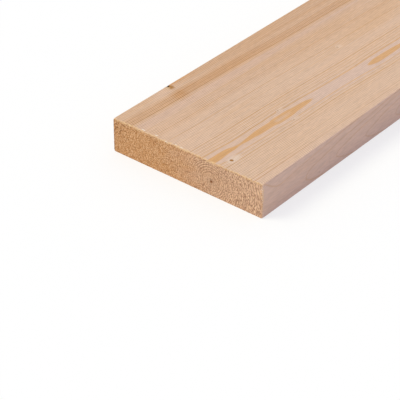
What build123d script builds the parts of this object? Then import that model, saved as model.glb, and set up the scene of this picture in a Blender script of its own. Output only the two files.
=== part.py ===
from build123d import *
import os
from math import sqrt

# A planed softwood plank: one straight length with eased long edges, square-sawn ends
# and a small chip where a knot broke out of the upper left arris.
# Frame: +Y along the length, away from the near sawn end, +X across the width, +Z up.
# The origin is on the underside, at the middle of the plank.

# Stock size, in millimetres
PLANK_LENGTH = 2400
PLANK_WIDTH = 220
PLANK_THICKNESS = 45

# Easing that the planer leaves on the four long edges
ARRIS_RADIUS = 1

# Chipped knot on the upper left arris
CHIP_FROM_END = 97  # near sawn end to the middle of the chip
CHIP_LENGTH = 5  # along the arris
CHIP_DEPTH = 1  # below the eased arris, along the corner's diagonal


def planed_length():
    """The planed section, drawn standing on the ground line and run the full length."""
    section = Pos(0, PLANK_THICKNESS / 2) * RectangleRounded(
        PLANK_WIDTH, PLANK_THICKNESS, ARRIS_RADIUS
    )
    return extrude(Plane.XZ * section, PLANK_LENGTH / 2, both=True)


def knot_chip():
    """The ball whose cap is the chip, set outside the arris on the corner's diagonal."""
    ball_radius = ((CHIP_LENGTH / 2) ** 2 + CHIP_DEPTH**2) / (2 * CHIP_DEPTH)
    from_arris_centre = ARRIS_RADIUS - CHIP_DEPTH + ball_radius
    across = from_arris_centre / sqrt(2)
    arris_centre = Pos(
        ARRIS_RADIUS - PLANK_WIDTH / 2,
        CHIP_FROM_END - PLANK_LENGTH / 2,
        PLANK_THICKNESS - ARRIS_RADIUS,
    )
    return arris_centre * Pos(-across, 0, across) * Sphere(ball_radius)


plank = planed_length() - knot_chip()

os.makedirs("parts", exist_ok=True)
export_step(plank, "parts/plank.step")
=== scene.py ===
import math
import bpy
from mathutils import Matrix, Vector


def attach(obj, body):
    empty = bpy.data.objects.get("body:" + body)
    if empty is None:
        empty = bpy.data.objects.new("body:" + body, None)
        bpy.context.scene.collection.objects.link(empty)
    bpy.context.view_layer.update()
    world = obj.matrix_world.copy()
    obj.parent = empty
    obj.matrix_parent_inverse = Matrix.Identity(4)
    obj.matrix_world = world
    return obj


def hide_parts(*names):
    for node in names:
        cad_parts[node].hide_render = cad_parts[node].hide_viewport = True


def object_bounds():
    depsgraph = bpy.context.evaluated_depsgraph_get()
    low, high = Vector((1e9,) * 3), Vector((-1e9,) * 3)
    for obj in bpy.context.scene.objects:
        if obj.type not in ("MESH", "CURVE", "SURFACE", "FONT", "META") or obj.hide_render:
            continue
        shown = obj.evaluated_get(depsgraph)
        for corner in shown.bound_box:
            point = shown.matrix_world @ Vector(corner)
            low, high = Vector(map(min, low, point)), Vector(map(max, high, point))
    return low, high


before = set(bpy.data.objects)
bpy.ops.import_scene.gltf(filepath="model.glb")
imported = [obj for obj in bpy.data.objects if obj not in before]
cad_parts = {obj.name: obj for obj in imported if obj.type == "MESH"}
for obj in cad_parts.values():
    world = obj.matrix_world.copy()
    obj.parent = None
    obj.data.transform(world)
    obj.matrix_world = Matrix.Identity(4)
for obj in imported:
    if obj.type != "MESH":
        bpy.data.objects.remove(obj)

from types import SimpleNamespace

import bpy
import numpy as np
from mathutils import Euler, Matrix, Vector

CAD_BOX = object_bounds()
MM = 0.001

# Stock, read from the CAD box, in millimetres
LOW, HIGH = (np.array(corner) / MM for corner in CAD_BOX)
WIDTH, LENGTH, THICKNESS = (float(size) for size in HIGH - LOW)
HALF_WIDTH = WIDTH / 2
HALF_THICKNESS = THICKNESS / 2
HALF_SECTION = np.array([HALF_WIDTH, HALF_THICKNESS])
NEAR_END = float(LOW[1])
UNDERSIDE = float(LOW[2])
ARRIS = 1.0
ARRIS_VARIES = 0.12

# Chipped knot on the upper left arris
CHIP_FROM_END = 97.0
CHIP_LENGTH = 5.0
CHIP_DEPTH = 1.0
CHIP_BARK = 0.6

# Growth rings. The pith runs inside the plank: distance from the near end, place across
# the width from the middle, and depth below the top face.
PITH_NEAR = (
    (0.0, 36.6, 26.42), (12.0, 37.3, 26.47), (20.0, 37.7, 26.55),
    (30.0, 38.2, 26.65), (36.0, 38.6, 26.74), (42.0, 38.9, 26.87),
    (50.0, 39.25, 26.93), (60.0, 39.6, 26.87), (75.0, 40.0, 26.74),
    (90.0, 40.4, 26.57), (105.0, 40.8, 26.58), (120.0, 41.3, 26.2),
    (135.0, 41.8, 26.22), (150.0, 42.3, 26.55), (160.0, 42.55, 26.64),
    (170.0, 42.8, 26.71), (178.0, 43.0, 26.84), (186.0, 43.3, 26.99),
    (240.0, 46.0, 27.4), (288.0, 48.7, 27.06), (295.0, 49.0, 26.9),
    (303.0, 49.4, 26.7), (315.0, 49.8, 26.52), (340.0, 50.4, 26.6),
    (370.0, 51.1, 26.9), (400.0, 51.8, 27.1),
)
PITH_NEAR_REACH = 400.0
# Waves of the pith beyond that, across and then in depth: size and period
PITH_FAR = (((14.5, 2600.0),), ((6.0, 2100.0), (1.1, 530.0)))
# How far the streak along the pith strays across the width, over the distance from the near end
STREAK_SWAY = (
    (0.0, 0.5), (10.0, 0.4), (20.0, -0.3), (30.0, -0.5), (36.0, -0.1), (42.0, 0.5),
    (50.0, 0.45), (60.0, 0.5), (75.0, -0.1), (90.0, -0.1), (105.0, 0.0), (120.0, 0.1),
    (135.0, -0.1), (150.0, -0.4), (160.0, -0.2), (170.0, -0.3), (180.0, 0.0), (200.0, 0.0),
)
STREAK_REACH = 200.0
SWAY_FADE = (6.0, 13.0)
# Rings: where each ends, as a distance from the pith, and how strong its late wood is to the
# left and to the right of the pith. The streak along the pith is the late wood of one of them.
RINGS = (
    (11.09, 0.55, 0.55), (13.69, 0.55, 0.55), (16.29, 0.6, 0.6),
    (18.89, 0.6, 0.6), (21.49, 0.6, 0.6), (24.09, 0.6, 0.6),
    (26.69, 0.6, 0.6), (28.79, 0.95, 0.95), (31.25, 0.75, 0.55),
    (33.5, 0.3, 0.36), (36.25, 0.3, 0.75), (39.05, 0.35, 0.5),
    (41.9, 0.65, 0.42), (44.6, 0.32, 0.4), (47.1, 0.14, 0.32),
    (49.6, 0.16, 0.34), (52.1, 0.12, 0.45), (55.0, 0.16, 0.6),
    (58.7, 0.26, 0.42), (62.3, 0.14, 0.42), (65.5, 0.16, 0.7),
    (70.1, 0.6, 0.95), (73.6, 0.14, 0.1), (77.0, 0.12, 0.1),
    (80.4, 0.18, 0.1), (83.8, 0.12, 0.1), (87.3, 0.75, 0.75),
    (91.6, 0.14, 0.14), (95.9, 0.12, 0.12), (100.3, 0.42, 0.42),
    (105.1, 0.12, 0.12), (110.1, 0.14, 0.14), (114.9, 0.16, 0.16),
    (119.7, 0.95, 0.95), (124.7, 0.28, 0.28), (129.4, 0.4, 0.4),
    (133.2, 0.24, 0.24), (137.0, 0.16, 0.16), (140.8, 0.16, 0.16),
    (144.6, 0.36, 0.36), (149.0, 0.3, 0.3), (153.5, 0.3, 0.3),
    (158.0, 0.3, 0.3), (163.0, 0.3, 0.3),
)
RING_REACH = 170.0
RING_CORE = 10.0
ECCENTRIC_SHARE = 0.03
RING_TONE_STEP = 2.399
RING_TONE_START = 3.97
SIDES_MEET = (-4.0, 4.0)
# How much less the outer rings wander along the length than the pith does
SETTLED_RIGHT = (75.0, 0.75)
SETTLED_LEFT = (-160.0, -80.0, 0.20)
# Unevenness of the rings away from the pith. A noise is the size of its patches, across, along
# and up, and its detail.
NOISE_SPREAD = 4.0
UNEVEN_FROM = (8.0, 45.0)
DRIFT = 0.25
DRIFT_NOISE = (55.0, 420.0, 55.0, 2.0)
WAVY = (0.22, 0.03)
WAVY_NOISE = (5.0, 160.0, 5.0, 1.0)
# Late wood: the share of a ring where it starts, which changes with the distance from the pith,
# how softly it starts and where it stops
LATE_RAMP = (60.0, 76.0, 0.56, 0.72)
LATE_SOFT_SHARE = 0.18
LATE_STOP_SHARES = (0.94, 1.0)

# Brownness over the distance from the pith
TONE_REACH = 160.0
BROWN_SHARES = (
    (0.0, 0.2), (26.0, 0.06), (62.0, 0.05), (70.0, 0.16), (78.0, 0.14), (85.0, 0.36),
    (97.0, 0.32), (104.0, 0.12), (111.0, 0.08), (114.0, 0.24), (118.0, 0.62), (121.0, 0.9),
    (126.5, 0.88), (130.5, 0.52), (134.5, 0.22), (139.0, 0.16), (148.0, 0.2), (160.0, 0.4),
)

# Knots: distance from the near end, angle round the pith from +X towards +Z in degrees,
# radius at the pith, growth of the radius along the branch, lean along the plank, how far the
# rings bend round it, and the distance from the pith at which it starts to show.
KNOTS = (
    (16.0, 60.9, 2.0, 0.0, 0.06, 0.6, 0.0),
    (134.0, 118.2, 0.95, 0.0, 0.06, 0.75, 0.0),
    (131.0, 65.5, 0.95, 0.0, 0.06, 0.75, 0.0),
    (301.5, 154.7, 0.8, 0.0, 0.06, 0.75, 0.0),
    (123.5, -5.4, 1.0, 0.0, 0.06, 0.75, 0.0),
    (104.0, -8.9, 1.2, 0.0, 0.06, 0.75, 0.0),
    (84.2, 169.4, 0.6, 0.0198, 0.09, -0.4, 140.5),
    (560.0, 24.0, 1.0, 0.05, 0.18, 0.75, 0.0),
    (572.0, 205.0, 1.0, 0.06, 0.18, 0.75, 0.0),
    (566.0, 96.0, 0.8, 0.06, 0.18, 0.75, 0.0),
    (930.0, 161.0, 1.2, 0.055, 0.16, 0.75, 0.0),
    (938.0, 282.0, 0.8, 0.08, 0.16, 0.75, 0.0),
    (1330.0, 75.0, 0.8, 0.06, 0.2, 0.75, 0.0),
    (1322.0, 190.0, 1.0, 0.05, 0.2, 0.75, 0.0),
    (1336.0, 334.0, 1.0, 0.07, 0.2, 0.75, 0.0),
    (1745.0, 128.0, 0.8, 0.06, 0.17, 0.75, 0.0),
    (1752.0, 8.0, 1.0, 0.055, 0.17, 0.75, 0.0),
    (2120.0, 256.0, 0.8, 0.07, 0.18, 0.75, 0.0),
    (2114.0, 175.0, 1.0, 0.052, 0.18, 0.75, 0.0),
)
# Away from the pith a knot rises over some distance, one that is hidden at first more slowly
KNOT_RISE = 4.0
HIDDEN_KNOT_RISE = 6.0
PALE_FROM = 1.8
PIN_TRAIL = 4.0
FLAT_SHARE = 0.42
# Parts of a knot, as shares of its radius
HEART_SHARES = (0.85, 1.12)
HIDDEN_HEART_SHARES = (0.50, 1.20)
RIM_SHARES = (0.55, 0.95, 1.0, 1.35)
BULGE_SHARES = (0.2, 3.2)
TRAIL_SHARES = (1.2, 3.2)
COLLAR_SHARES = (1.0, 1.3, 1.4, 2.1)
COLLAR_STRENGTH = 1.3

# Arcs on the right side face: height of their tips, how fast they open, the first tip's
# distance from the near end, the next tip's from it, and where they start and fade out
ARC_LEVEL = 14.0
ARC_BEND = 0.21
ARC_START = 82.0
ARC_PITCH = 61.0
ARC_FIRST = -ARC_PITCH / 3
ARC_RISE = (60.0, 75.0)
ARC_FADE = (400.0, 520.0)
ARC_RAMP = (0.2, 1.7, 0.36, 0.0)
ARC_WOBBLE = 5.0
ARC_CELL = (45.0, 18.0, 45.0)
ARC_DETAIL = 1.0
SIDE_LATE_SHARES = (0.05, 0.16)
HOOK_BEFORE = 100.0
HOOK_REACH = 35.0
HOOK_BEND = 0.18

# Planed faces. A rise or a fade is two places, and a ramp adds its values before and after them.
# A band rises between its first two places and falls between the last two. Most places across are
# from the pith.
MIDDLE_FADE = (9.0, 15.0)
CORE_FADE = (3.0, 9.0)
LEFT_BAND = (-45.0, -35.0, -14.0, -10.0)
RIGHT_RISE = (12.0, 40.0)
OUTER_RISE = (50.0, 70.0)
SIDE_RISE = (HALF_WIDTH - 1.3, HALF_WIDTH - 0.6)
NEAR_FADE = (60.0, 110.0)
FIBRE_NOISE = (1.3, 9.0, 1.3, 2.0)
STREAK_NOISE = (3.4, 170.0, 3.4, 2.0)
CLOUD_NOISE = (40.0, 240.0, 40.0, 2.0)

# Strength of the ring lines along the length
RIGHT_RAMP = (40.0, 130.0, 0.0, -0.36)
OUTER_RAMP = (0.0, 60.0, 0.30, 0.0)
LEFT_SHARE = 0.14
STREAK_RAMP = (75.0, 95.0, 0.0, 0.12)
HOLLOW_BAND = (108.0, 120.0, 121.0, 136.0)
HOLLOW_SHARE = 0.12
LINE_TONE_SHARES = (0.25, 0.85)
ROSE_LINE_SHARE = 0.85

# Tints of the pale wood. A zone is its share, its band across and its band along.
PALE_SHARES = (0.40, 0.15)
WARM_PATCH_SHARES = (0.45, 0.30)
WARM_LEVEL_SHARE = 0.42
WARM_SHARES = (-0.40, 0.75)
PINK_NEAR_RAMP = (40.0, 80.0, 0.60, 0.30)
PINK_FAR_RAMP = (150.0, 200.0, 0.0, 0.55)
ROSY_RINGS = (98.0, 107.0, 112.0, 117.0)
ROSY_SHARE = 0.6
PALE_STREAK_RAMP = (0.1, 1.1, 0.0, 0.35)
PALE_STREAK_FADE = (-70.0, -60.0)
BEFORE_END = (-2.0, -1.0)
PAST_END = (LENGTH + 1.0, LENGTH + 2.0)
OFF_LEFT = (-HALF_WIDTH - 2.0, -HALF_WIDTH - 1.0)
PALE_ZONES = (
    (0.40, (-72.0, -58.0, 18.0, 34.0), (*BEFORE_END, 20.0, 110.0)),
    (0.40, (-5.0, 8.0, 30.0, 42.0), (170.0, 230.0, *PAST_END)),
    (0.60, (*OFF_LEFT, -100.0, -92.0), (55.0, 75.0, 84.0, 95.0)),
)

# Brown band on the left
FAN_BAND = (76.0, 88.0, 94.0, 106.0)
FAN_SHARE = 0.20
BROWN_NEAR_RAMP = (40.0, 130.0, 0.70, 1.0)
BROWN_FAR_RAMP = (180.0, 270.0, 0.0, -0.12)
BROWN_ZONES = (
    (0.18, (-100.0, -88.0, -76.0, -68.0), FAN_BAND),
    (0.24, (-99.0, -94.0, -90.0, -84.0), (86.0, 98.0, 112.0, 135.0)),
)
STRIP_RINGS = (134.0, 140.0)
STRIP_RISE = (95.0, 140.0)
STRIP_SHARE = 0.32
FILL_BAND = (-98.0, -93.0, -86.0, -79.0)
FILL_RAMP = (95.0, 180.0, 0.10, 0.27)
LINING_ZONES = ((0.42, (-60.0, -57.0, -51.0, -48.0), (130.0, 220.0, *PAST_END)),)
BAND_LATE_SHARE = 0.22
BAND_LINED_RAMP = (90.0, 180.0, 1.0, 0.45)
BAND_LINE_SHARE = 0.30
BAND_BROWN_RAMP = (90.0, 180.0, 0.58, 0.62)

# Planer marks, fibres and dark lines
KNIFE_PITCH = 3.08
KNIFE_SKEW = 0.12
KNIFE_WANDER = 0.4
KNIFE_WANDER_NOISE = (40.0, 90.0, 40.0, 1.0)
KNIFE_NOISE = (14.0, 30.0, 14.0, 1.0)
KNIFE_SHARES = (0.45, 0.8)
LADDER_SHARES = (0.075, 0.080)
LADDER_FAN_SHARE = 0.6
SMOOTH_RAMP = (50.0, 110.0, 0.75, 0.0)
FINE_SHARES = (0.100, 0.030, 0.015)
DARK_SHARES = (0.15, 0.10, 0.02)
# Extra blue in the right side face's colour: painted cool shade
SIDE_SHADE_BLUE_SHARE = 0.10
PLANED_RELIEF = (0.014, 0.012, 0.02, -0.08)
PLANED_ROUGHNESS = 0.58
PLANED_SPECULAR = 0.30

# Knots on the planed faces, with the stain, resin, and dark bark with its painted shadow at the
# chipped one
PIN_SHARES = (-0.48, 0.60)
SIDE_KNOT_SHARE = -0.65
RIM_SHARE = 0.30
STAIN_FADE = (1.4 - HALF_WIDTH, 5.4 - HALF_WIDTH)
STAIN_PAST_CHIP = (0.0, 4.0, 13.0, 68.0)
STAIN_SHARE = 0.85
RESIN_AT = (4.5 - HALF_WIDTH, CHIP_FROM_END - 3.4, THICKNESS)
RESIN_STRETCH = (1.0, 0.8, 1.0)
RESIN_RAMP = (1.0, 3.6, 0.55, 0.0)
# Dark spot at the chip: real bark, with the chip's shadow painted into it
BARK_SHADOW_AT = (1.7 - HALF_WIDTH, CHIP_FROM_END, THICKNESS)
BARK_SHADOW_STRETCH = (1.0, 1.0, 0.5)
BARK_SHADOW_FADE = (1.1, 2.5)

# Torn top edge of the sawn ends. A row is the height of a noise and the noise.
TORN_ROWS = ((1.2, (2.4, 9.0, 2.4, 1.0)), (0.9, (6.0, 9.0, 6.0, 0.0)))
TORN_SHIFT_RAMP = (-40.0, 60.0, -0.5, 0.2)
TORN_RAMP = (1.0, 3.0, 0.85, 0.0)
PATCH_NOISE = (4.5, 40.0, 40.0, 1.0)
PATCH_RAMP = (-0.7, 0.5, 0.35, 1.0)
BITE_ROWS = ((1.5, (2.1, 20.0, 2.1, 1.0)),)
BITE_RAMP = (-0.5, 0.4, 0.8, 0.0)
# Torn white fibres on the top at the sawn ends: place across from the middle, distance from the
# end, half their length across and half their width
FLECKS = (
    (-66.2, 3.6, 3.2, 0.8),
    (-46.8, 4.1, 2.2, 0.9),
    (-29.6, 0.9, 2.0, 0.7),
    (-16.8, 3.2, 1.8, 0.6),
    (-8.0, 2.4, 3.0, 0.6),
)
FLECK_ROWS = ((0.25, (1.1, 1.1, 1.1, 0.0)),)
FLECK_RAMP = (0.5, 1.1, 0.9, 0.0)

# Sawn end grain
END_PINK_RISE = (-120.0, 50.0)
END_CLOUD_ROWS = ((0.2, (30.0, 30.0, 16.0, 2.0)),)
END_GRAIN_NOISE = (0.92, 3.0, 0.92, 0.0)
WORM_TURNS = 20.0
WORM_LENGTH = 3.0
WORM_STRENGTH = 1.3
WORM_RAMP = (-55.0, -5.0, 0.0, 0.85)
HEART_ROWS = ((0.5, (1.2, 1.0, 1.2, 1.0)),)
HEART_CLEAR = (6.0, 13.0)
PITH_RAMP = (0.9, 2.2, 0.9, 0.0)
CLEAR_RAMP = (-60.0, -5.0, 0.12, 0.60)
ARCH_RAMP = (28.0, 36.0, 0.35, 0.0)
ARCH_RISE = (6.0, 14.0)
END_TONE_SHARES = (0.4, 0.7)
END_BREAK_SHARES = (0.9, 0.65)
# Shares of the tufts' height, the grain and the lines: raised tufts get painted light and sunken
# ones painted shade, over the grain's own speckle
ROUGH_SHARES = (0.40, 1.25, -0.3)
ROUGH_PALE_RAMP = (-0.1, 1.2, 0.0, 0.85)
ROUGH_DARK_RAMP = (-1.2, 0.0, 0.66, 0.0)
PIT_NOISE = (2.4, 3.0, 2.4, 0.0)
PIT_ACROSS_RAMP = (-105.0, -45.0, 0.15, -1.0)
PIT_UP_RAMP = (14.0, 32.0, -0.5, 0.0)
PIT_RAMP = (0.40, 0.80, 0.0, 0.65)
JAG_ROWS = (
    (1.0, (2.2, 60.0, 60.0, 1.0)),
    (0.5, (1.3, 1.0, 1.3, 0.0)),
    (0.8, (6.0, 60.0, 60.0, 0.0)),
)
JAG_RAMP = (0.8, 2.1, 0.90, 0.0)
END_PATCH_NOISE = (3.5, 40.0, 40.0, 1.0)
END_PATCH_RAMP = (-0.7, 0.5, 0.40, 1.0)
BESIDE_ROWS = ((1.5, (1.5, 1.0, 1.5, 0.0)),)
BESIDE_UP_RAMP = (15.0, 38.0, 0.5, -0.4)
BESIDE_RAMP = (0.4, 1.8, 0.80, 0.0)
END_RELIEF = (0.10, 0.06)
SAWN_ROUGHNESS = 0.85
SAWN_SPECULAR = 0.20

# Colours, linear
EARLY = (0.695, 0.487, 0.352)
PALE = (0.722, 0.512, 0.386)
LATE = (0.655, 0.364, 0.155)
LATE_ROSE = (0.64, 0.42, 0.236)
LATE_RED = (0.64, 0.315, 0.15)
WARM = (0.65, 0.412, 0.246)
PINK = (0.66, 0.475, 0.385)
BROWN = (0.5, 0.235, 0.075)
KNOT_HEART = (0.385, 0.172, 0.036)
KNOT_RIM = (0.17, 0.065, 0.02)
# Colour of the bark at the chip, darkened further by painted shadow
CHIP_DARK = (0.05, 0.016, 0.003)
STAIN = (0.61, 0.3, 0.11)
RESIN = (0.69, 0.5, 0.29)
ROSE = (0.625, 0.425, 0.33)
PIN_PALE = (0.79, 0.62, 0.5)
FRINGE = (0.82, 0.545, 0.29)
FLECK = (0.88, 0.77, 0.64)
EDGE_FLECK = (0.96, 0.76, 0.64)
END_GOLD = (0.598, 0.293, 0.113)
END_PINK = (0.708, 0.438, 0.288)
END_DARK = (0.21, 0.08, 0.024)
END_PALE = (0.93, 0.62, 0.37)
PITH_BROWN = (0.29, 0.095, 0.026)
WHITE = (1.0, 1.0, 1.0)

# Grid of the mesh: cells round the section, and rows of points along the length
CORNER_CELLS = 3
BESIDE_CORNER = 6
FLAT_CELLS = (210, 40)
KEEP_EVERY = 5
CELLS = tuple(n + 2 * CORNER_CELLS for n in FLAT_CELLS)
FINE_ROWS = (0.0, 0.6, 1.3, 2.3, 3.6, 5.4)
FIRST_COARSE = 8.0
NEAR_STEP = 6.0
FAR_STEP = 12.0
NEAR_REACH = 330.0
CHIP_STEP = 0.5
SMOOTH_ANGLE = math.radians(38)

# Wear and roughness of the shape. A seed starts the random numbers of one noise.
NOISE_TABLE = 256
EASING_CELL = 23.0
EASING_SEED = 5
CORNERS_APART = 37.0
END_WEAR = 0.30
END_WEAR_FADE = 0.5
END_WEAR_CELL = 1.4
END_WEAR_SEED = 11
END_WEAR_SHARE = 0.7
CORNER_WEAR = 0.5
CORNER_REACH = 4.0
CORNER_FADE = 2.0
CHIP_RAGGED = 0.15
CHIP_CELL = 1.1
CHIP_SEED = 23
END_RECESS = 0.7
END_SEEDS = (41, 52)
TUFTS = "tufts"
TUFT_HEIGHT = 0.28
TUFT_ROWS = ((0.90, 1.25), (0.20, 2.4))
SAW_MARK = 0.05
SAW_PITCH = 3.7
SAW_SLANT = 0.35
SAW_WANDER = 0.8
SAW_CELL = 9.0
BORDER_BACK = 0.25
BORDER_RAGGED = 0.40
BORDER_CELL = 1.6
BORDER_SEED = 31

# Torn fibres along the arrises of the sawn ends: how many at each, and up to which share of them
# an arris gets its own, with the way in from it, across and up
HAIRS = 260
HAIR_SEED = 7
HAIR_SHARES = (
    (0.56, (0.0, -1.0)),
    (0.76, (-1.0, 0.0)),
    (0.90, (0.0, 1.0)),
    (1.00, (1.0, 0.0)),
)
HAIR_LENGTH = (3.0, 0.5)
HAIR_LEAST = 0.4
HAIR_HALF_WIDTH = (0.18, 0.42)
HAIR_LEAN = 0.45
HAIR_STAND = (0.1, END_RECESS - 0.1)
HAIR_START = (0.05, 0.3)
HAIR_ROOT = END_RECESS + 0.5
HAIR_BEND_SHARE = 0.55
HAIR_NARROW_SHARE = 0.75
HAIR_TIP_LEAN = 1.7
HAIR_TIP_BACK = 0.25
HAIR_INSET = 0.02
HAIR_CORNERS = ((-1, 0.5), (1, 0.5), (1, -0.5), (-1, -0.5))
HAIR_SIDES = ((0, 1), (1, 2), (2, 3), (3, 0))
HAIR_FACES = (
    (3, 2, 1, 0),
    *((a, b, 4 + b, 4 + a) for a, b in HAIR_SIDES),
    *((4 + a, 4 + b, 8) for a, b in HAIR_SIDES),
)

# Materials by their place in the mesh, and the flat sheet that the faces are laid out on
PLANED, SAWN = 0, 1
SHEET = 1230.0
SHEET_GAP = 6.0
HAIR_CELL = 5.0
HAIR_MIDDLE = 2.0
HAIR_ROUND = 1.6

# Light: the top face gets about one in all, and the rest follows from it
SKY = (0.60, 0.61, 0.72)
SUN_TINT = (0.40, 0.39, 0.28)
SUN_WAY = Vector((-0.45, -0.40, 0.80)).normalized()
SUN_SPREAD = math.radians(28)
FLOOR_BOUNCE = 0.88
FLOOR_SHADOW = 0.34
FLOOR_SIZE = 60.0

# Camera, in metres and degrees, and its lens in millimetres
EYE = (1.00281, -2.40044, 1.04996)
CAMERA_TURN = (55.5722, -0.1490, 39.3737)
SENSOR = 36.0
LENS = 148.0446


# Numbers worked out by nodes


def feed(tree, socket, value):
    """Links a field to a socket, or sets the socket to a plain value."""
    if isinstance(value, Field):
        tree.links.new(value.socket, socket)
    else:
        socket.default_value = value


class Field:
    """A number, vector or colour that a node tree works out at each point."""

    def __init__(self, tree, socket):
        self.tree = tree
        self.socket = socket

    def maths(self, operation, *others):
        node = self.tree.nodes.new("ShaderNodeMath")
        node.operation = operation
        for socket, value in zip(node.inputs, (self, *others)):
            feed(self.tree, socket, value)
        return Field(self.tree, node.outputs[0])

    def vectors(self, operation, other=None, out=0):
        node = self.tree.nodes.new("ShaderNodeVectorMath")
        node.operation = operation
        feed(self.tree, node.inputs[0], self)
        if other is not None:
            feed(self.tree, node.inputs[1], other)
        return Field(self.tree, node.outputs[out])

    def __add__(self, other):
        return self.maths("ADD", other)

    def __sub__(self, other):
        return self.maths("SUBTRACT", other)

    def __mul__(self, other):
        return self.maths("MULTIPLY", other)

    def __truediv__(self, other):
        return self.maths("DIVIDE", other)

    def times_plus(self, factor, plus):
        return self.maths("MULTIPLY_ADD", factor, plus)

    def inverse(self):
        return self.times_plus(-1.0, 1.0)

    def squared(self):
        return self * self

    def size(self):
        return self.maths("ABSOLUTE")

    def length(self):
        return self.vectors("LENGTH", out=1)

    def at_least(self, other):
        return self.maths("MAXIMUM", other)

    def wave(self, rate, start=0.0):
        return self.times_plus(rate, start).maths("SINE")

    def ramp(self, low, high, start=0.0, stop=1.0):
        """Goes smoothly from start to stop as the field goes from low to high."""
        node = self.tree.nodes.new("ShaderNodeMapRange")
        node.interpolation_type = "SMOOTHSTEP"
        for name, value in zip(
            ("Value", "From Min", "From Max", "To Min", "To Max"),
            (self, low, high, start, stop),
        ):
            feed(self.tree, node.inputs[name], value)
        return Field(self.tree, node.outputs["Result"])

    def fall(self, low, high):
        """Goes smoothly from one to zero from low to high."""
        return self.ramp(low, high, 1.0, 0.0)

    def band(self, rise, risen, fall, fallen):
        """Rises over the first two places, and falls over the last two."""
        return self.ramp(rise, risen) * self.fall(fall, fallen)

    def curve(self, reach, points, low, high, handles="AUTO_CLAMPED"):
        """Looks the field up in a table of (place, value), with values from low to high."""
        node = self.tree.nodes.new("ShaderNodeFloatCurve")
        feed(self.tree, node.inputs["Value"], self / reach)
        line = node.mapping.curves[0]
        places = [(a / reach, (b - low) / (high - low)) for a, b in points]
        line.points[0].location = places[0]
        line.points[1].location = places[-1]
        for place in places[1:-1]:
            line.points.new(*place)
        for point in line.points:
            point.handle_type = handles
        node.mapping.update()
        return Field(self.tree, node.outputs[0]).times_plus(high - low, low)


def joined(x, y, z):
    node = x.tree.nodes.new("ShaderNodeCombineXYZ")
    for socket, value in zip(node.inputs, (x, y, z)):
        feed(x.tree, socket, value)
    return Field(x.tree, node.outputs[0])


def noise(place, detail=0.0):
    """Smooth noise, mostly from minus one to one, over a scaled place."""
    tree = place.tree
    node = tree.nodes.new("ShaderNodeTexNoise")
    feed(tree, node.inputs["Vector"], place)
    node.inputs["Scale"].default_value = 1.0
    node.inputs["Detail"].default_value = detail
    return Field(tree, node.outputs["Fac"]).times_plus(NOISE_SPREAD, -NOISE_SPREAD / 2)


def mixed(share, first, second):
    """Goes from the first colour to the second as share goes from 0 to 1."""
    tree = share.tree
    node = tree.nodes.new("ShaderNodeMix")
    node.data_type = "RGBA"
    feed(tree, node.inputs[0], share)
    for socket, colour in zip(node.inputs[6:8], (first, second)):
        feed(tree, socket, colour if isinstance(colour, Field) else (*colour, 1.0))
    return Field(tree, node.outputs[2])


def weighted(shares, *fields):
    """The sum of fields, each times its share."""
    total = fields[0] * shares[0]
    for share, field in zip(shares[1:], fields[1:]):
        total = total + field * share
    return total


def tinted(colour, *tints):
    """Lays tints over a colour, each with its share."""
    for share, tint in tints:
        colour = mixed(share, colour, tint)
    return colour


# Growth of the tree


def pith_at(along):
    """Where the pith is at a distance from the near end: across and up."""
    table = np.array(PITH_NEAR)
    over = max(along - PITH_NEAR_REACH, 0.0)
    spots = []
    for column, waves in enumerate(PITH_FAR, 1):
        spot = np.interp(along, table[:, 0], table[:, column])
        far = sum(size * math.sin(over * math.tau / period) for size, period in waves)
        spots.append(spot + far)
    across, depth = spots
    return across, THICKNESS - depth


def pith_path(along):
    """The same as fields: place of the pith across, and its depth below the top face."""
    table = np.array(PITH_NEAR)
    over = (along - PITH_NEAR_REACH).at_least(0.0)
    paths = []
    for column, waves in enumerate(PITH_FAR, 1):
        values = table[:, column]
        path = along.curve(PITH_NEAR_REACH, table[:, [0, column]], values.min(), values.max())
        for size, period in waves:
            path = path + over.wave(math.tau / period) * size
        paths.append(path)
    return paths


def speckle(wood, kind):
    """Noise of a kind: the size of its patches across, along and up, and its detail."""
    *cell, detail = kind
    return noise(wood.place.vectors("DIVIDE", cell), detail)


def ragged(wood, rows):
    """The sum of noise from rows of height and kind."""
    total = wood.none
    for height, kind in rows:
        total = total + speckle(wood, kind) * height
    return total


def zoned(wood, zones):
    """The sum of zones from rows of share, band across and band along."""
    total = wood.none
    for share, across, along in zones:
        total = total + wood.x.band(*across) * wood.along.band(*along) * share
    return total


def from_line(arm, way):
    """Distance from the line that runs the given way."""
    return arm.vectors("CROSS_PRODUCT", way).length()


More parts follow.
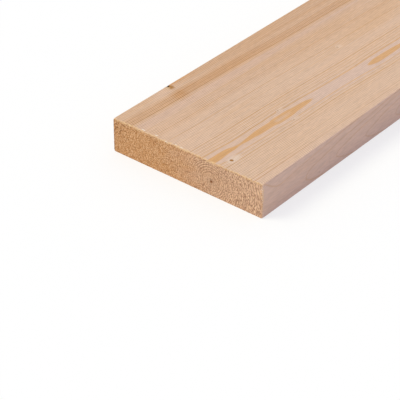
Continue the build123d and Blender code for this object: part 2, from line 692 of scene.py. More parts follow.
def add_knots(wood):
    """Knots, their rims, the pale wood of pin knots, and the bulge of the rings round them."""
    wood.knot, wood.rim, wood.bulge, wood.pin = [wood.none] * 4
    for start, angle, base, taper, lean, bend, shows in KNOTS:
        pith_x, pith_z = pith_at(start)
        turn = math.radians(angle)
        way = Vector((math.cos(turn), lean, math.sin(turn))).normalized()
        arm = wood.place.vectors("SUBTRACT", (pith_x, start, pith_z))
        reach = arm.vectors("DOT_PRODUCT", way, out=1)
        radius = reach.times_plus(taper, base)
        ratio = from_line(arm, way) / radius
        outward = reach.ramp(shows, shows + (HIDDEN_KNOT_RISE if shows else KNOT_RISE))
        strength = 1.0 if taper else min(base / PALE_FROM, 1.0)
        heart = ratio.fall(*(HIDDEN_HEART_SHARES if shows else HEART_SHARES)) * strength
        wood.knot = wood.knot.at_least(heart * outward)
        wood.rim = wood.rim.at_least(ratio.band(*RIM_SHARES) * outward)

        # Along the plank a bulge and a trail reach farther than across it
        flat_way = Vector((way.x, way.y * FLAT_SHARE, way.z)).normalized()
        flat_arm = arm.vectors("MULTIPLY", (1.0, FLAT_SHARE, 1.0))
        spread = from_line(flat_arm, flat_way) / radius
        wood.bulge = wood.bulge + spread.fall(*BULGE_SHARES) * radius * outward * bend
        if not taper:
            past = flat_arm.vectors("SUBTRACT", (0.0, PIN_TRAIL * FLAT_SHARE, 0.0))
            trail = (from_line(past, flat_way) / radius).fall(*TRAIL_SHARES) * strength
            collar = ratio.band(*COLLAR_SHARES) * COLLAR_STRENGTH
            wood.pin = wood.pin.at_least(trail.at_least(collar) * outward)


def add_rings(wood, pith_across):
    """Distance from the pith, counted in rings, with the late wood of each ring."""
    dx, along = wood.dx, wood.along
    reach, share = SETTLED_RIGHT
    settled = dx.ramp(0.0, reach, 0.0, share)
    low, high, share = SETTLED_LEFT
    settled = settled + dx.ramp(low, high, share, 0.0)
    sway = along.curve(STREAK_REACH, STREAK_SWAY, -1.0, 1.0) * dx.size().fall(*SWAY_FADE)
    ring_dx = dx + (pith_across - PITH_NEAR[0][1]) * settled - sway
    uneven = dx.size().ramp(*UNEVEN_FROM)
    drift = speckle(wood, DRIFT_NOISE) * uneven * DRIFT
    wavy = speckle(wood, WAVY_NOISE) * uneven.times_plus(*WAVY)
    radius = (ring_dx.squared() + wood.dz.squared() + RING_CORE**2).maths("SQRT")
    radius = radius + ring_dx * ECCENTRIC_SHARE + drift + wavy - wood.bulge

    ends = [(0.0, -RINGS[0][0] / (RINGS[1][0] - RINGS[0][0]))]
    ends += [(row[0], float(number)) for number, row in enumerate(RINGS)]
    count = radius.curve(RING_REACH, ends, ends[0][1], ends[-1][1], "VECTOR")
    ring = count.maths("CEIL")
    sides = []
    for side in (1, 2):
        strengths = [(number, row[side]) for number, row in enumerate(RINGS)]
        sides.append(ring.curve(float(len(RINGS)), strengths, 0.0, 1.0, "VECTOR"))
    left, right = sides
    share = count - ring + 1.0
    late_from = radius.ramp(*LATE_RAMP)
    wood.radius = radius
    wood.strength = left + (right - left) * dx.ramp(*SIDES_MEET)
    wood.tone = ring.wave(RING_TONE_STEP, RING_TONE_START).times_plus(0.5, 0.5)
    wood.late = share.ramp(late_from, late_from + LATE_SOFT_SHARE) * share.fall(*LATE_STOP_SHARES)


def growth(tree):
    """Place, knots and rings at each point of the wood, in millimetres."""
    source = tree.nodes.new("ShaderNodeTexCoord")
    place = Field(tree, source.outputs["Object"]).vectors("SCALE")
    place.socket.node.inputs["Scale"].default_value = 1 / MM
    place = place.vectors("SUBTRACT", (0.0, NEAR_END, 0.0))
    node = tree.nodes.new("ShaderNodeSeparateXYZ")
    feed(tree, node.inputs[0], place)
    x, along, z = (Field(tree, out) for out in node.outputs)
    pith_across, pith_depth = pith_path(along)
    dx = x - pith_across
    dz = z + pith_depth - THICKNESS
    wood = SimpleNamespace(place=place, x=x, along=along, z=z, dx=dx, dz=dz, none=along * 0.0)
    add_knots(wood)
    add_rings(wood, pith_across)
    return wood


def look(name):
    """A new material, and the wood's growth as fields of its tree."""
    material = bpy.data.materials.new(name)
    material.use_nodes = True
    return material, growth(material.node_tree)


def finished(material, colour, relief, roughness, specular):
    """Gives the material its colour, its relief in millimetres and its shine."""
    tree = material.node_tree
    bump = tree.nodes.new("ShaderNodeBump")
    bump.inputs["Strength"].default_value = 1.0
    bump.inputs["Distance"].default_value = MM
    feed(tree, bump.inputs["Height"], relief)
    sockets = tree.nodes["Principled BSDF"].inputs
    feed(tree, sockets["Base Color"], colour)
    feed(tree, sockets["Normal"], Field(tree, bump.outputs["Normal"]))
    feed(tree, sockets["Roughness"], roughness)
    feed(tree, sockets["Specular IOR Level"], specular)
    return material


# Planed faces


def side_arcs(wood):
    """Faint arcs on the right side face, which cuts the rings lengthways."""
    along = wood.along
    height = wood.z - ARC_LEVEL
    across_grain = joined(along, wood.z, wood.x).vectors("DIVIDE", ARC_CELL)
    wobble = noise(across_grain, ARC_DETAIL) * ARC_WOBBLE
    past = along + wobble - height.squared() * ARC_BEND - ARC_START
    steep = (height * (2 * ARC_BEND)).squared()
    count = past.at_least(ARC_FIRST) / ARC_PITCH
    gap = (count - count.maths("ROUND")).size() * ARC_PITCH
    arcs = (gap / (steep + 1.0).maths("SQRT")).ramp(*ARC_RAMP)
    arcs = arcs * along.ramp(*ARC_RISE) * along.fall(*ARC_FADE)

    # One more arc, which hooks up to the near end
    before = along.times_plus(-1.0, HOOK_REACH).at_least(0.0)
    hooked = (past + before.squared() * HOOK_BEND + HOOK_BEFORE).size()
    slope = (before.times_plus(2 * HOOK_BEND, 1.0).squared() + steep).maths("SQRT")
    arcs = arcs.at_least((hooked / slope).ramp(*ARC_RAMP))
    return arcs.at_least(wood.late * along.ramp(*ARC_FADE, *SIDE_LATE_SHARES))


def add_zones(wood):
    """Zones and noise that the looks of the planed faces share."""
    wood.middle = wood.dx.size().fall(*MIDDLE_FADE)
    wood.core = wood.dx.size().fall(*CORE_FADE)
    wood.left = wood.dx.band(*LEFT_BAND)
    wood.right = wood.dx.ramp(*RIGHT_RISE)
    wood.outer = wood.dx.ramp(*OUTER_RISE)
    wood.side = wood.x.ramp(*SIDE_RISE)
    wood.near = wood.along.fall(*NEAR_FADE)
    wood.fan = wood.along.band(*FAN_BAND)
    wood.strip = wood.radius.ramp(*STRIP_RINGS) * wood.along.ramp(*STRIP_RISE)
    wood.brown = wood.radius.curve(TONE_REACH, BROWN_SHARES, 0.0, 1.0)
    wood.lined = wood.late * wood.along.ramp(*BAND_LINED_RAMP)
    wood.fibre = speckle(wood, FIBRE_NOISE)
    wood.streak = speckle(wood, STREAK_NOISE)
    wood.cloud = speckle(wood, CLOUD_NOISE)


def ring_lines(wood):
    """How strongly the late wood shows."""
    along = wood.along
    right = wood.right * along.ramp(*RIGHT_RAMP) + 1.0
    outer = wood.outer * along.ramp(*OUTER_RAMP) + 1.0
    strength = wood.strength * right * outer * wood.left.times_plus(LEFT_SHARE, 1.0)
    faded = wood.middle * along.ramp(*STREAK_RAMP)
    faded = faded + wood.core * along.band(*HOLLOW_BAND) * HOLLOW_SHARE
    line = wood.late * strength * wood.tone.times_plus(*LINE_TONE_SHARES) * faded.inverse()
    return line * wood.side.inverse() + side_arcs(wood) * wood.side


def early_wood(wood):
    """Colour of the pale wood between the lines."""
    along = wood.along
    pale = weighted(PALE_SHARES, wood.right, wood.outer)
    warm = weighted(WARM_PATCH_SHARES, wood.cloud, wood.streak) + WARM_LEVEL_SHARE
    pink = along.ramp(*PINK_NEAR_RAMP) + along.ramp(*PINK_FAR_RAMP)
    return tinted(
        mixed(pale, EARLY, PALE),
        (warm.ramp(0.0, 1.0) * wood.right.times_plus(*WARM_SHARES), WARM),
        (wood.middle * wood.late.inverse() * pink, PINK),
        (zoned(wood, PALE_ZONES), PALE),
        (wood.radius.band(*ROSY_RINGS) * ROSY_SHARE, ROSE),
        (wood.streak.ramp(*PALE_STREAK_RAMP) * wood.dx.fall(*PALE_STREAK_FADE), PALE),
    )


def late_wood(wood):
    """Colour of the lines: orange, and to the right of the pith rose or, near the end, red."""
    red = wood.outer * wood.near
    rose = wood.right * red.inverse() * wood.side.inverse() * ROSE_LINE_SHARE
    return tinted(mixed(rose, LATE, LATE_ROSE), (red * wood.side.inverse(), LATE_RED))


def browned(wood, colour):
    """The brown band on the left, over the colour of the rings."""
    along = wood.along
    level = along.ramp(*BROWN_NEAR_RAMP) + along.ramp(*BROWN_FAR_RAMP) + wood.fan * FAN_SHARE
    filled = wood.x.band(*FILL_BAND) * along.ramp(*FILL_RAMP) * wood.brown.inverse()
    grown = wood.brown * level + wood.strip * STRIP_SHARE + filled + zoned(wood, BROWN_ZONES)
    return tinted(
        colour,
        (zoned(wood, LINING_ZONES), WARM),
        (wood.brown * wood.near * BAND_LATE_SHARE, LATE),
        (grown * (wood.lined * BAND_LINE_SHARE + along.ramp(*BAND_BROWN_RAMP)), BROWN),
    )


def knife_marks(wood):
    """Waves across the grain that the planer's knives left."""
    skew = wood.x * KNIFE_SKEW + speckle(wood, KNIFE_WANDER_NOISE) * KNIFE_WANDER
    knives = (wood.along / KNIFE_PITCH + skew).wave(math.tau)
    return knives * speckle(wood, KNIFE_NOISE).times_plus(*KNIFE_SHARES)


def shaded(wood, colour, line, knives):
    """Fibres, knife marks and dark lines, over the colour of the wood, with painted cool shade on
    the right side face.
    """
    clear = line * wood.middle.inverse()
    dark = weighted(DARK_SHARES, clear, wood.lined * wood.brown, wood.strip)
    smooth = wood.middle * wood.along.ramp(*SMOOTH_RAMP)
    ladder = knives * (wood.brown + wood.fan * LADDER_FAN_SHARE).times_plus(*LADDER_SHARES)
    ladder = ladder * wood.side.inverse() * smooth.inverse()
    fine = weighted(FINE_SHARES, wood.fibre, wood.streak, wood.cloud)
    light = fine + ladder + 1.0 - dark
    # The right side face gets more blue: painted cool shade
    shade_blue = light * wood.side.times_plus(SIDE_SHADE_BLUE_SHARE, 1.0)
    return colour.vectors("MULTIPLY", joined(light, light, shade_blue))


def from_spot(wood, spot, stretch):
    """Distance from a spot, with each direction stretched."""
    return wood.place.vectors("SUBTRACT", spot).vectors("MULTIPLY", stretch).length()


def knotted(wood, colour, bark_and_shadow):
    """Knots, with the stain, resin, and dark bark with its painted shadow at the chipped one."""
    faint = wood.side.times_plus(SIDE_KNOT_SHARE, 1.0)
    stained = wood.x.fall(*STAIN_FADE) * (wood.along - CHIP_FROM_END).band(*STAIN_PAST_CHIP)
    return tinted(
        colour,
        (wood.pin * wood.side.times_plus(*PIN_SHARES), PIN_PALE),
        (wood.knot * faint, KNOT_HEART),
        (wood.rim * faint * RIM_SHARE, KNOT_RIM),
        (stained * STAIN_SHARE, STAIN),
        (from_spot(wood, RESIN_AT, RESIN_STRETCH).ramp(*RESIN_RAMP), RESIN),
        (bark_and_shadow, CHIP_DARK),
    )


def torn_edge(wood, colour):
    """Torn fibres where the saw broke out of the planed faces."""
    end = wood.along.maths("MINIMUM", wood.along.times_plus(-1.0, LENGTH))
    torn = ragged(wood, TORN_ROWS) + end + wood.x.ramp(*TORN_SHIFT_RAMP)
    tints = [(torn.ramp(*TORN_RAMP) * speckle(wood, PATCH_NOISE).ramp(*PATCH_RAMP), FRINGE)]
    rough = ragged(wood, FLECK_ROWS)
    for place, start, length, width in FLECKS:
        across = (wood.x - place).size() / length
        fleck = across.at_least((end - start).size() / width + rough)
        tints.append((fleck.ramp(*FLECK_RAMP), FLECK))
    tints.append(((end + ragged(wood, BITE_ROWS)).ramp(*BITE_RAMP), END_GOLD))
    return tinted(colour, *tints)


def planed_wood():
    material, wood = look("planed_softwood")
    add_zones(wood)
    line = ring_lines(wood)
    knives = knife_marks(wood)
    # Dark bark at the chip with its shadow painted in; it gets no shine
    bark_and_shadow = from_spot(wood, BARK_SHADOW_AT, BARK_SHADOW_STRETCH).fall(*BARK_SHADOW_FADE)
    colour = mixed(line, early_wood(wood), late_wood(wood))
    colour = shaded(wood, browned(wood, colour), line, knives)
    colour = torn_edge(wood, knotted(wood, colour, bark_and_shadow))
    relief = weighted(PLANED_RELIEF, knives, wood.fibre, wood.late, wood.knot)
    return finished(material, colour, relief, PLANED_ROUGHNESS, bark_and_shadow.inverse() * PLANED_SPECULAR)


# Sawn ends


def end_grain(wood):
    """Ends of the fibres, which lie in short arcs round the pith where it is near."""
    grain = speckle(wood, END_GRAIN_NOISE)
    turn = wood.dz.maths("ARCTAN2", wood.dx)
    worms = noise(joined(wood.radius, turn * WORM_TURNS, wood.along / WORM_LENGTH))
    share = wood.dx.ramp(*WORM_RAMP)
    return grain + (worms * WORM_STRENGTH - grain) * share


def end_lines(wood, grain, heart):
    """Dark lines of the rings, broken up by the grain, and how clear they are."""
    broken = grain.times_plus(*END_BREAK_SHARES).at_least(0.0)
    line = wood.late * wood.tone.times_plus(*END_TONE_SHARES) * broken * heart.ramp(*HEART_CLEAR)
    arch = wood.radius.ramp(*ARCH_RAMP) * wood.dz.ramp(*ARCH_RISE)
    return line, wood.dx.ramp(*CLEAR_RAMP) + arch


def torn_borders(wood):
    """Tints of the pale torn fibres along the top and the right of the end."""
    below = wood.z.times_plus(-1.0, THICKNESS) + ragged(wood, JAG_ROWS)
    patchy = speckle(wood, END_PATCH_NOISE).ramp(*END_PATCH_RAMP)
    beside = wood.x.times_plus(-1.0, HALF_WIDTH) + ragged(wood, BESIDE_ROWS)
    beside = beside + wood.z.ramp(*BESIDE_UP_RAMP)
    return (below.ramp(*JAG_RAMP) * patchy, FRINGE), (beside.ramp(*BESIDE_RAMP), EDGE_FLECK)


def sawn_end():
    material, wood = look("sawn_end_grain")
    node = material.node_tree.nodes.new("ShaderNodeAttribute")
    node.attribute_name = TUFTS
    tuft = Field(material.node_tree, node.outputs["Fac"])
    grain = end_grain(wood)
    heart = (wood.dx.squared() + wood.dz.squared()).maths("SQRT") + ragged(wood, HEART_ROWS)
    line, clear = end_lines(wood, grain, heart)
    pinkish = wood.dx.ramp(*END_PINK_RISE) + ragged(wood, END_CLOUD_ROWS)
    # Pale and dark follow the grain's own speckle, and the tufts' height: painted light on raised
    # tufts, painted shade in sunken ones
    rough = weighted(ROUGH_SHARES, tuft, grain, line)
    pits = wood.x.ramp(*PIT_ACROSS_RAMP) + wood.z.ramp(*PIT_UP_RAMP) + speckle(wood, PIT_NOISE)
    colour = tinted(
        mixed(pinkish.ramp(0.0, 1.0), END_GOLD, END_PINK),
        (line * clear, END_DARK),
        (rough.ramp(*ROUGH_PALE_RAMP), END_PALE),
        (rough.ramp(*ROUGH_DARK_RAMP), END_DARK),
        (pits.ramp(*PIT_RAMP), END_DARK),
        (heart.ramp(*PITH_RAMP), PITH_BROWN),
        (wood.knot, KNOT_HEART),
        *torn_borders(wood),
    )
    relief = weighted(END_RELIEF, grain, wood.late)
    return finished(material, colour, relief, SAWN_ROUGHNESS, SAWN_SPECULAR)


# Shape


def value_noise(points, cell, seed):
    """Smooth noise from -1 to 1 at points of two coordinates, with one value per cell."""
    rng = np.random.default_rng(seed)
    table = rng.uniform(-1.0, 1.0, (NOISE_TABLE, NOISE_TABLE))
    scaled = np.asarray(points, float) / cell
    base = np.floor(scaled).astype(int)
    part = scaled - base
    part = part * part * (3.0 - 2.0 * part)
    a, b = base[..., 0] % NOISE_TABLE, base[..., 1] % NOISE_TABLE
    a1, b1 = (a + 1) % NOISE_TABLE, (b + 1) % NOISE_TABLE
    u, v = part[..., 0], part[..., 1]
    first = table[a, b] * (1 - u) + table[a1, b] * u
    second = table[a, b1] * (1 - u) + table[a1, b1] * u
    return first * (1 - v) + second * v


def axis_values(cells, half):
    flat = np.linspace(ARRIS - half, half - ARRIS, cells + 1)
    corner = np.linspace(0.0, ARRIS, CORNER_CELLS + 1)[:-1]
    return np.concatenate([corner - half, flat, (half - corner)[::-1]])


def rounded(x, z, radius):
    """Moves points of the square-cornered section on to the section with eased arrises."""
    u = (np.abs(x) - (HALF_WIDTH - ARRIS)) / ARRIS
    v = (np.abs(z) - (HALF_THICKNESS - ARRIS)) / ARRIS
    corner = (u > 0) & (v > 0)
    length = np.hypot(u, v)
    size = np.where(corner, np.maximum(u, v) / np.where(length > 0, length, 1.0), 1.0)
    rx = np.sign(x) * (HALF_WIDTH - radius + radius * u * size)
    rz = np.sign(z) * (HALF_THICKNESS - radius + radius * v * size)
    return np.where(corner, rx, x), np.where(corner, rz, z)


def section_grid():
    """The section's grid, its outline, what coarse rows keep of it, and how far round it goes."""
    xs = axis_values(FLAT_CELLS[0], HALF_WIDTH)
    zs = axis_values(FLAT_CELLS[1], HALF_THICKNESS)
    across, up = CELLS
    loop = [(i, 0) for i in range(across)] + [(across, j) for j in range(up)]
    loop += [(i, up) for i in range(across, 0, -1)] + [(0, j) for j in range(up, 0, -1)]
    i, j = np.array(loop).T
    flat_x = (i - CORNER_CELLS) % KEEP_EVERY == 0
    flat_z = (j - CORNER_CELLS) % KEEP_EVERY == 0
    near_x = (i <= BESIDE_CORNER) | (i >= across - BESIDE_CORNER)
    near_z = (j <= BESIDE_CORNER) | (j >= up - BESIDE_CORNER)
    keep = np.where((j == 0) | (j == up), flat_x | near_x, flat_z | near_z)
    rx, rz = rounded(xs[i], zs[j], ARRIS)
    steps = np.hypot(np.roll(rx, -1) - rx, np.roll(rz, -1) - rz)
    round_at = np.concatenate([[0.0], np.cumsum(steps)])
    below_walls = 2 * (round_at[-1] + SHEET_GAP) + SHEET_GAP
    return SimpleNamespace(
        xs=xs, zs=zs, i=i, j=j, total=len(loop), kept=np.flatnonzero(keep),
        round_at=round_at, below_walls=below_walls,
    )


def coarse_rows():
    near = np.arange(FIRST_COARSE, NEAR_REACH, NEAR_STEP)
    half = LENGTH / 2
    middle = np.linspace(NEAR_REACH, half, round((half - NEAR_REACH) / FAR_STEP) + 1)
    far = np.linspace(half, LENGTH - FIRST_COARSE, round(half / FAR_STEP))[1:]
    reach = CHIP_LENGTH / 2 + CHIP_STEP
    chip = np.arange(CHIP_FROM_END - reach, CHIP_FROM_END + reach, CHIP_STEP)
    near = near[np.abs(near - CHIP_FROM_END) > reach + CHIP_STEP]
    return np.unique(np.concatenate([near, chip, middle, far]).round(4))


def worn_corner(x, z, end):
    """Rounds the four corners of a sawn end, less and less away from the end."""
    away = np.hypot(HALF_WIDTH - np.abs(x), HALF_THICKNESS - np.abs(z))
    beside = np.clip(1.0 - away / CORNER_REACH, 0.0, 1.0) ** 2
    wear = CORNER_WEAR * beside * math.exp(-end / CORNER_FADE)
    return x - np.sign(x) * wear, z - np.sign(z) * wear


def wall_ring(x, z, along, number):
    """One ring of wall points at a distance from the near end, before it is placed."""
    angle = np.arctan2(z * HALF_WIDTH / HALF_THICKNESS, x)
    corner = np.floor(angle / (math.pi / 2)) * CORNERS_APART
    easing = value_noise(np.stack([corner, np.full_like(x, along)], -1), EASING_CELL, EASING_SEED)
    end = min(along, LENGTH - along)
    radius = ARRIS + ARRIS_VARIES * easing * min(end / FIRST_COARSE, 1.0)
    rx, rz = worn_corner(*rounded(x, z, radius), end)
    rough = value_noise(np.stack([x + number, z], -1), END_WEAR_CELL, END_WEAR_SEED)
    shrink = END_WEAR * math.exp(-end / END_WEAR_FADE) * (1.0 + END_WEAR_SHARE * rough)
    rx = rx - np.sign(rx) * shrink * (np.abs(rx) > HALF_WIDTH - ARRIS)
    rz = rz - np.sign(rz) * shrink * (np.abs(rz) > HALF_THICKNESS - ARRIS)
    return rx, rz


def chipped(points):
    """Presses the chip into the upper left arris, as the cap of a ball that bark holds off."""
    ball = ((CHIP_LENGTH / 2) ** 2 + CHIP_DEPTH**2) / (2 * CHIP_DEPTH)
    out = np.array([-1.0, 0.0, 1.0]) / math.sqrt(2)
    arris = np.array([ARRIS - HALF_WIDTH, CHIP_FROM_END, THICKNESS - ARRIS])
    centre = arris + out * (ARRIS - CHIP_DEPTH + ball + CHIP_BARK)
    rough = value_noise(points[:, [0, 1]] + points[:, [2, 2]], CHIP_CELL, CHIP_SEED)
    size = ball + CHIP_RAGGED * rough
    arm = points - centre
    away = np.einsum("ij,ij->i", arm, arm)
    along = arm @ out
    depth = along + np.sqrt(np.maximum(size**2 - (away - along**2), 0.0))
    inside = away < size**2
    return np.where(inside[:, None], points - out * depth[:, None], points)


def end_relief(x, z, seed):
    """How far the sawn end stands back, and its torn tufts from -1 to 1."""
    flat = np.stack([x, z], -1)
    tufts = np.zeros(len(flat))
    for number, (size, cell) in enumerate(TUFT_ROWS):
        tufts += value_noise(flat, cell, seed + number) * size
    slanted = x * math.cos(SAW_SLANT) + z * math.sin(SAW_SLANT)
    wander = SAW_WANDER * value_noise(flat, SAW_CELL, seed + len(TUFT_ROWS))
    marks = SAW_MARK * np.sin(slanted * math.tau / SAW_PITCH + wander)
    return np.maximum(END_RECESS - TUFT_HEIGHT * tufts + marks, 0.0), tufts


def from_near(back, far):
    """Distance from the near end of what stands back from the near or far end."""
    return LENGTH - back if far else back


class Shell:
    """Points and faces of the mesh, with the material and the flat places of each face."""

    def __init__(self):
        self.points = np.zeros((0, 3))
        self.faces = []
        self.slots = []
        self.places = []

    def add_points(self, x, along, z):
        """Adds points, with z from mid-thickness, and gives the number of the first."""
        first = len(self.points)
        rows = np.stack([x, along, z + HALF_THICKNESS], -1)
        self.points = np.concatenate([self.points, rows])
        return first

    def add_face(self, corners, slot, places):
        self.faces.append(corners)
        self.slots.append(slot)
        self.places.append(places)


def add_wall_faces(shell, section, near, far):
    """Faces between two rings. The ring with fewer points says where they part."""
    half = int(near.along + far.along > LENGTH)
    start = half * LENGTH / 2 - SHEET_GAP
    turn = half * (section.round_at[-1] + SHEET_GAP) + SHEET_GAP
    fewer = min(near.index, far.index, key=len)
    for p, q in zip(fewer, np.roll(fewer, -1)):
        span = range(p, (q if q > p else q + section.total) + 1)
        corners, places = [], []
        for ring, way in ((near, 1), (far, -1)):
            for n in span[::way]:
                if n % section.total in ring.where:
                    corners.append(ring.first + ring.where[n % section.total])
                    places.append((ring.along - start, section.round_at[n] + turn))
        shell.add_face(corners, PLANED, places)


def add_walls(shell, section):
    """The planed faces, as rings of points. Gives the first and the last ring."""
    every = np.arange(section.total)
    spots = [(along, every) for along in FINE_ROWS]
    spots += [(along, section.kept) for along in coarse_rows()]
    spots += [(LENGTH - along, every) for along in FINE_ROWS[::-1]]
    rings = []
    for number, (along, index) in enumerate(spots):
        x, z = wall_ring(section.xs[section.i[index]], section.zs[section.j[index]], along, number)
        first = shell.add_points(x, np.full_like(x, along), z)
        where = {p: k for k, p in enumerate(index)}
        rings.append(SimpleNamespace(first=first, along=along, index=index, where=where))
    for near, far in zip(rings, rings[1:]):
        add_wall_faces(shell, section, near, far)
    return rings[0], rings[-1]


def add_end(shell, section, border, far):
    """One sawn end inside its border. Gives the number of its first point, and its tufts."""
    across, up = CELLS
    grid = np.zeros((across + 1, up + 1), int)
    grid[section.i, section.j] = border.first + np.arange(section.total)
    i, j = (part.ravel() for part in np.mgrid[1:across, 1:up])
    x, z = worn_corner(*rounded(section.xs[i], section.zs[j], ARRIS), 0.0)
    back, tufts = end_relief(x, z, END_SEEDS[far])
    first = shell.add_points(x, from_near(back, far), z)
    grid[i, j] = first + np.arange(len(i))
    flat_x, flat_z = rounded(*np.meshgrid(section.xs, section.zs, indexing="ij"), ARRIS)
    flat_x = flat_x + HALF_WIDTH + far * (WIDTH + SHEET_GAP) + SHEET_GAP
    flat_z = flat_z + HALF_THICKNESS + section.below_walls
    for i in range(across):
        for j in range(up):
            corners = [(i + 1, j), (i + 1, j + 1), (i, j + 1), (i, j)]
            if far:
                corners = corners[::-1]
            places = [(flat_x[c], flat_z[c]) for c in corners]
            shell.add_face([grid[c] for c in corners], SAWN, places)
    return first, tufts


def set_back(shell, section, border, far):
    """Sets the border of a sawn end back by an uneven amount."""
    points = shell.points[border.first:border.first + section.total]
    rough = value_noise(points[:, [0, 2]], BORDER_CELL, BORDER_SEED) * 0.5 + 0.5
    points[:, 1] = from_near(BORDER_BACK + BORDER_RAGGED * rough, far)


def hair(rng):
    """Points of one torn fibre, two rings of four and a tip: across, back from the end and up."""
    pick = rng.uniform()
    way = np.array(next(inward for upto, inward in HAIR_SHARES if pick < upto))
    side = np.array([-way[1], way[0]])
    root = rng.uniform(-1, 1) * (HALF_SECTION - ARRIS) * np.abs(side) - HALF_SECTION * way
    length = rng.gamma(*HAIR_LENGTH) + HAIR_LEAST
    wide = rng.uniform(*HAIR_HALF_WIDTH)
    lean = side * rng.normal(0.0, HAIR_LEAN)
    stand = rng.uniform(*HAIR_STAND)
    start = root + way * rng.uniform(*HAIR_START)
    middle = start + (way + lean) * length * HAIR_BEND_SHARE
    tip = start + (way + lean * HAIR_TIP_LEAN) * length
    points = []
    narrow = wide * HAIR_NARROW_SHARE
    for centre, size, back in ((start, wide, HAIR_ROOT), (middle, narrow, stand)):
        for p, q in HAIR_CORNERS:
            flat = centre + side * p * size
            points.append((flat[0], max(back + q * wide, 0.0), flat[1]))
    points.append((tip[0], min(stand + HAIR_TIP_BACK, END_RECESS), tip[1]))
    return np.array(points)


def add_hairs(shell, section):
    """Short torn fibres along the arrises of both ends, each with its own cell of the sheet."""
    rng = np.random.default_rng(HAIR_SEED)
    limit = HALF_SECTION - HAIR_INSET
    beside_ends = 2 * (WIDTH + 2 * SHEET_GAP)
    cells_wide = int((SHEET - beside_ends) / HAIR_CELL)
    for number in range(2 * HAIRS):
        far = number >= HAIRS
        x, back, z = hair(rng).T
        x = np.clip(x, -limit[0], limit[0])
        z = np.clip(z, -limit[1], limit[1])
        first = shell.add_points(x, from_near(back, far), z)
        u = beside_ends + (number % cells_wide) * HAIR_CELL + HAIR_MIDDLE
        v = section.below_walls + (number // cells_wide) * HAIR_CELL + HAIR_MIDDLE
        for face in HAIR_FACES:
            corners = [first + k for k in (face[::-1] if far else face)]
            turns = math.tau * (np.arange(len(face)) + 0.5) / len(face)
            places = np.stack([u + np.cos(turns) * HAIR_ROUND, v + np.sin(turns) * HAIR_ROUND], -1)
            shell.add_face(corners, PLANED, places.tolist())


def build_plank():
    """The whole surface, and the height of the saw's tufts at each of its points."""
    shell = Shell()
    section = section_grid()
    borders = add_walls(shell, section)
    tufted = [add_end(shell, section, border, far) for far, border in enumerate(borders)]
    shell.points = chipped(shell.points)
    for far, border in enumerate(borders):
        set_back(shell, section, border, far)
    add_hairs(shell, section)
    heights = np.zeros(len(shell.points), np.float32)
    for first, tufts in tufted:
        heights[first:first + len(tufts)] = tufts
    return shell, heights


def plank_object():
    shell, heights = build_plank()
    points = shell.points + np.array([0.0, NEAR_END, UNDERSIDE])
    mesh = bpy.data.meshes.new("plank_wood")
    mesh.from_pydata((points * MM).tolist(), [], shell.faces)
    mesh.polygons.foreach_set("material_index", np.array(shell.slots, np.int32))
    mesh.attributes.new(TUFTS, "FLOAT", "POINT").data.foreach_set("value", heights)
    layer = mesh.uv_layers.new(name="OFBake")
    flat = np.array([place for face in shell.places for place in face], np.float32) / SHEET
    layer.data.foreach_set("uv", flat.ravel())
    mesh.polygons.foreach_set("use_smooth", np.ones(len(shell.faces), bool))
    mesh.set_sharp_from_angle(angle=SMOOTH_ANGLE)
    mesh.update()
    plank = bpy.data.objects.new("plank_wood", mesh)
    bpy.context.scene.collection.objects.link(plank)
    return plank


# Stage


def seen_directly(tree):
    """One where a camera, glossy or transmitted ray sees the surface, and otherwise zero."""
    path = tree.nodes.new("ShaderNodeLightPath")
    kinds = ("Is Camera Ray", "Is Glossy Ray", "Is Transmission Ray")
    camera, glossy, through = (Field(tree, path.outputs[kind]) for kind in kinds)
    return camera.at_least(glossy).at_least(through)


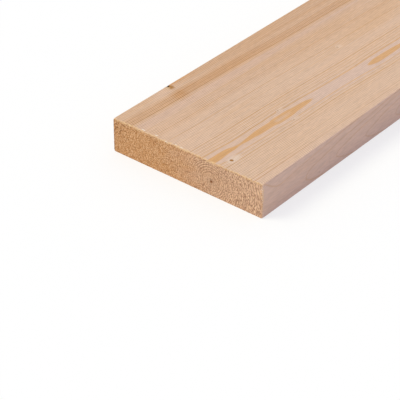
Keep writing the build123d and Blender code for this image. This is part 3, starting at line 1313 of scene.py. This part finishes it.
def add_floor():
    half = FLOOR_SIZE / 2
    mesh = bpy.data.meshes.new("floor")
    corners = [(-half, -half, 0.0), (half, -half, 0.0), (half, half, 0.0), (-half, half, 0.0)]
    mesh.from_pydata(corners, [], [(0, 1, 2, 3)])
    floor = bpy.data.objects.new("floor", mesh)
    bpy.context.scene.collection.objects.link(floor)
    material = bpy.data.materials.new("pale_floor")
    material.use_nodes = True
    tree = material.node_tree
    tree.nodes.clear()
    seen = seen_directly(tree)
    diffuse = tree.nodes.new("ShaderNodeBsdfDiffuse")
    level = seen.times_plus(FLOOR_SHADOW - FLOOR_BOUNCE, FLOOR_BOUNCE)
    feed(tree, diffuse.inputs["Color"], joined(level, level, level))
    glow = tree.nodes.new("ShaderNodeEmission")
    feed(tree, glow.inputs["Strength"], seen * (1.0 - FLOOR_SHADOW))
    both = tree.nodes.new("ShaderNodeAddShader")
    tree.links.new(diffuse.outputs[0], both.inputs[0])
    tree.links.new(glow.outputs[0], both.inputs[1])
    out = tree.nodes.new("ShaderNodeOutputMaterial")
    tree.links.new(both.outputs[0], out.inputs["Surface"])
    mesh.materials.append(material)


def add_light():
    scene = bpy.context.scene
    world = bpy.data.worlds.new("studio")
    scene.world = world
    world.use_nodes = True
    tree = world.node_tree
    sky = tree.nodes["Background"]
    feed(tree, sky.inputs["Color"], mixed(seen_directly(tree), SKY, WHITE))
    lamp = bpy.data.lights.new("key", "SUN")
    strongest = max(SUN_TINT)
    lamp.color = [tint / strongest for tint in SUN_TINT]
    lamp.energy = math.pi * strongest / SUN_WAY.z
    lamp.angle = SUN_SPREAD
    key = bpy.data.objects.new("key", lamp)
    key.rotation_euler = SUN_WAY.to_track_quat("Z", "Y").to_euler()
    scene.collection.objects.link(key)
    scene.view_settings.view_transform = "Standard"


def add_camera():
    """The camera, placed and turned as the photograph's was."""
    scene = bpy.context.scene
    data = bpy.data.cameras.new("camera")
    data.sensor_width = SENSOR
    data.lens = LENS
    camera = bpy.data.objects.new("camera", data)
    turn = Euler([math.radians(angle) for angle in CAMERA_TURN])
    camera.matrix_world = Matrix.LocRotScale(Vector(EYE), turn, None)
    scene.collection.objects.link(camera)
    scene.camera = camera


plank = plank_object()
plank.data.materials.append(planed_wood())
plank.data.materials.append(sawn_end())
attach(plank, "root")
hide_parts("plank")
add_floor()
add_light()
add_camera()
